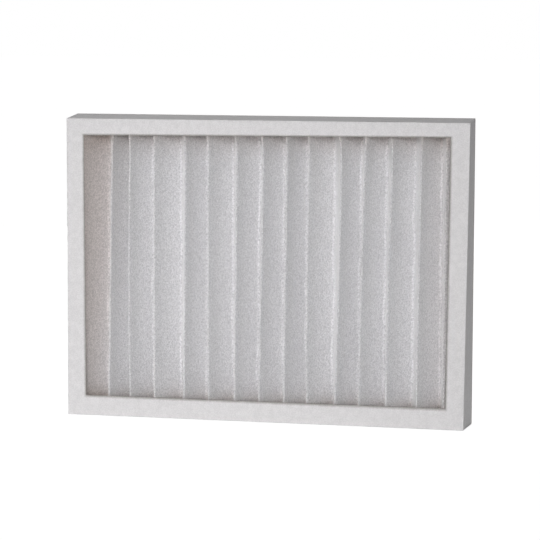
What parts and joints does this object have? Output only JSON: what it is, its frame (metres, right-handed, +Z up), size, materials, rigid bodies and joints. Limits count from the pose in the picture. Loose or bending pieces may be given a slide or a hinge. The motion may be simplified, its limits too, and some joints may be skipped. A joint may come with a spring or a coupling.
{
  "type": "pleated panel air filter",
  "caption": "Flat panel air filter: a folded felt pack with upright pleats held in a white board frame, for a ventilation duct or air handler.",
  "frame": {"origin": "middle of the outer face of the bottom edge, where the filter stands", "axes": "+X along the long side, +Y with the air from the entry face to the exit face, +Z up"},
  "size_m": [0.495, 0.045, 0.37],
  "materials": {
    "frame_board": "smooth white board",
    "filter_felt": "soft nonwoven felt",
    "adhesive": "foamed adhesive"
  },
  "bodies": {
    "root": {"front_tray": "frame_board", "back_tray": "frame_board", "pleated_felt": "filter_felt", "top_glue_bead": "adhesive", "bottom_glue_bead": "adhesive", "left_glue_strip": "adhesive", "right_glue_strip": "adhesive"}
  },
  "joints": []
}
